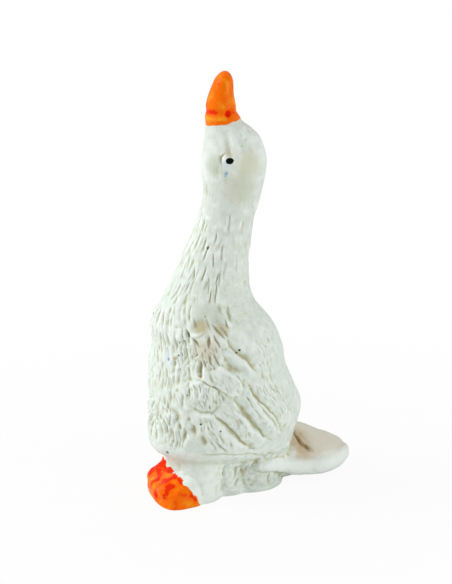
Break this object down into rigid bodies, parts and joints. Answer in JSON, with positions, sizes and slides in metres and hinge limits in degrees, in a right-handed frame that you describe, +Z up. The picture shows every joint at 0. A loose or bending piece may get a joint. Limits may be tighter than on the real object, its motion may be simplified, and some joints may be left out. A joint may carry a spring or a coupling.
{
  "type": "goose figurine",
  "caption": "Small standing goose, neck stretched and orange bill raised, cast in one piece with carved feathers and painted white, on a flat underside.",
  "frame": {"origin": "on the flat underside, below the body's upright axis", "axes": "+Z up; the goose faces -Y, and its left side is at +X"},
  "size_m": [0.0352, 0.0545, 0.1],
  "materials": {
    "painted_cast": "satin off-white paint, gloss orange bill and feet, black eyes"
  },
  "bodies": {
    "root": {"goose_figurine": "painted_cast"}
  },
  "joints": []
}
